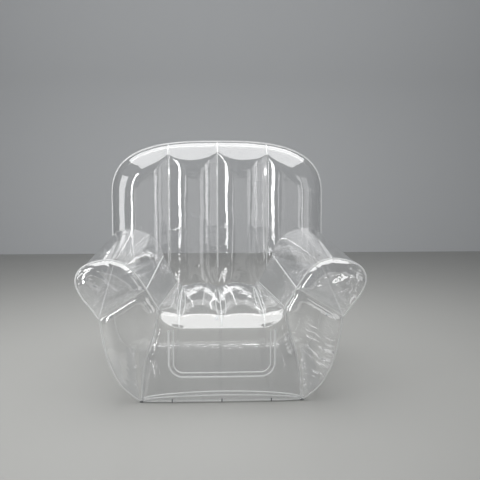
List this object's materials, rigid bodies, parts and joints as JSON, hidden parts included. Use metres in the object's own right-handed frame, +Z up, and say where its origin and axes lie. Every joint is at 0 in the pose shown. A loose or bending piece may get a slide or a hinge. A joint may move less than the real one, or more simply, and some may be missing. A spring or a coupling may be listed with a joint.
{
  "type": "inflatable armchair",
  "caption": "Clear inflatable armchair with a scalloped high back, rolled arms, a channelled seat and a baffled front, with capped air valves.",
  "frame": {"origin": "on the floor, under the middle of the chair's bounding box", "axes": "+Z up, the sitter faces -Y, +X to the right seen from in front"},
  "size_m": [1.0812, 0.9506, 0.9652],
  "materials": {
    "clear_film": "clear flexible vinyl film, glossy, faintly cool",
    "inner_web_film": "clear flexible vinyl film, a little hazy",
    "valve_vinyl": "soft moulded clear vinyl, slightly milky"
  },
  "bodies": {
    "chair": {"back_front_film": "clear_film", "back_rear_film": "clear_film", "seat_film": "clear_film", "base_front_film": "clear_film", "base_bottom_film": "clear_film", "arm_left_roll_film": "clear_film", "arm_left_inner_wall": "clear_film", "arm_left_side_film": "clear_film", "arm_left_front_cap": "clear_film", "arm_right_roll_film": "clear_film", "arm_right_inner_wall": "clear_film", "arm_right_side_film": "clear_film", "arm_right_front_cap": "clear_film", "back_web_left": "inner_web_film", "back_web_centre": "inner_web_film", "back_web_right": "inner_web_film", "seat_web_left": "inner_web_film", "seat_web_centre": "inner_web_film", "seat_web_right": "inner_web_film", "front_baffle": "inner_web_film", "arm_left_waist_web": "inner_web_film", "arm_left_rear_wall": "inner_web_film", "arm_right_waist_web": "inner_web_film", "arm_right_rear_wall": "inner_web_film", "back_valve_stem": "valve_vinyl", "arm_left_valve_stem": "valve_vinyl", "arm_right_valve_stem": "valve_vinyl", "back_valve_strap": "valve_vinyl", "arm_left_valve_strap": "valve_vinyl", "arm_right_valve_strap": "valve_vinyl"},
    "back_valve_plug": {"back_valve_plug": "valve_vinyl"},
    "back_valve_flap": {"back_valve_flap": "valve_vinyl"},
    "arm_left_valve_plug": {"arm_left_valve_plug": "valve_vinyl"},
    "arm_left_valve_flap": {"arm_left_valve_flap": "valve_vinyl"},
    "arm_right_valve_plug": {"arm_right_valve_plug": "valve_vinyl"},
    "arm_right_valve_flap": {"arm_right_valve_flap": "valve_vinyl"}
  },
  "joints": [
    {"name": "back_valve_plug_pull", "type": "slide", "parent": "chair", "child": "back_valve_plug", "axis": [0, 0.9977, -0.0681], "range_m": [0, 0.012], "deforming": ["back_valve_strap"]},
    {"name": "back_valve_flap_hinge", "type": "hinge", "parent": "chair", "child": "back_valve_flap", "pos_m": [0.005, 0.44391, 0.12032], "axis": [0, 0.0681, 0.9977], "range_deg": [0, 40], "stiffness_Nm_per_rad": 0.0005},
    {"name": "arm_left_valve_plug_pull", "type": "slide", "parent": "chair", "child": "arm_left_valve_plug", "axis": [-0.997, -0.0461, -0.0619], "range_m": [0, 0.012], "deforming": ["arm_left_valve_strap"]},
    {"name": "arm_left_valve_flap_hinge", "type": "hinge", "parent": "chair", "child": "arm_left_valve_flap", "pos_m": [-0.46005, 0.02305, 0.22799], "axis": [-0.0618, -0.0029, 0.9981], "range_deg": [0, 40], "stiffness_Nm_per_rad": 0.0005},
    {"name": "arm_right_valve_plug_pull", "type": "slide", "parent": "chair", "child": "arm_right_valve_plug", "axis": [0.997, -0.0461, -0.0619], "range_m": [0, 0.012], "deforming": ["arm_right_valve_strap"]},
    {"name": "arm_right_valve_flap_hinge", "type": "hinge", "parent": "chair", "child": "arm_right_valve_flap", "pos_m": [0.45959, 0.01306, 0.22799], "axis": [0.0618, -0.0029, 0.9981], "range_deg": [0, 40], "stiffness_Nm_per_rad": 0.0005}
  ]
}
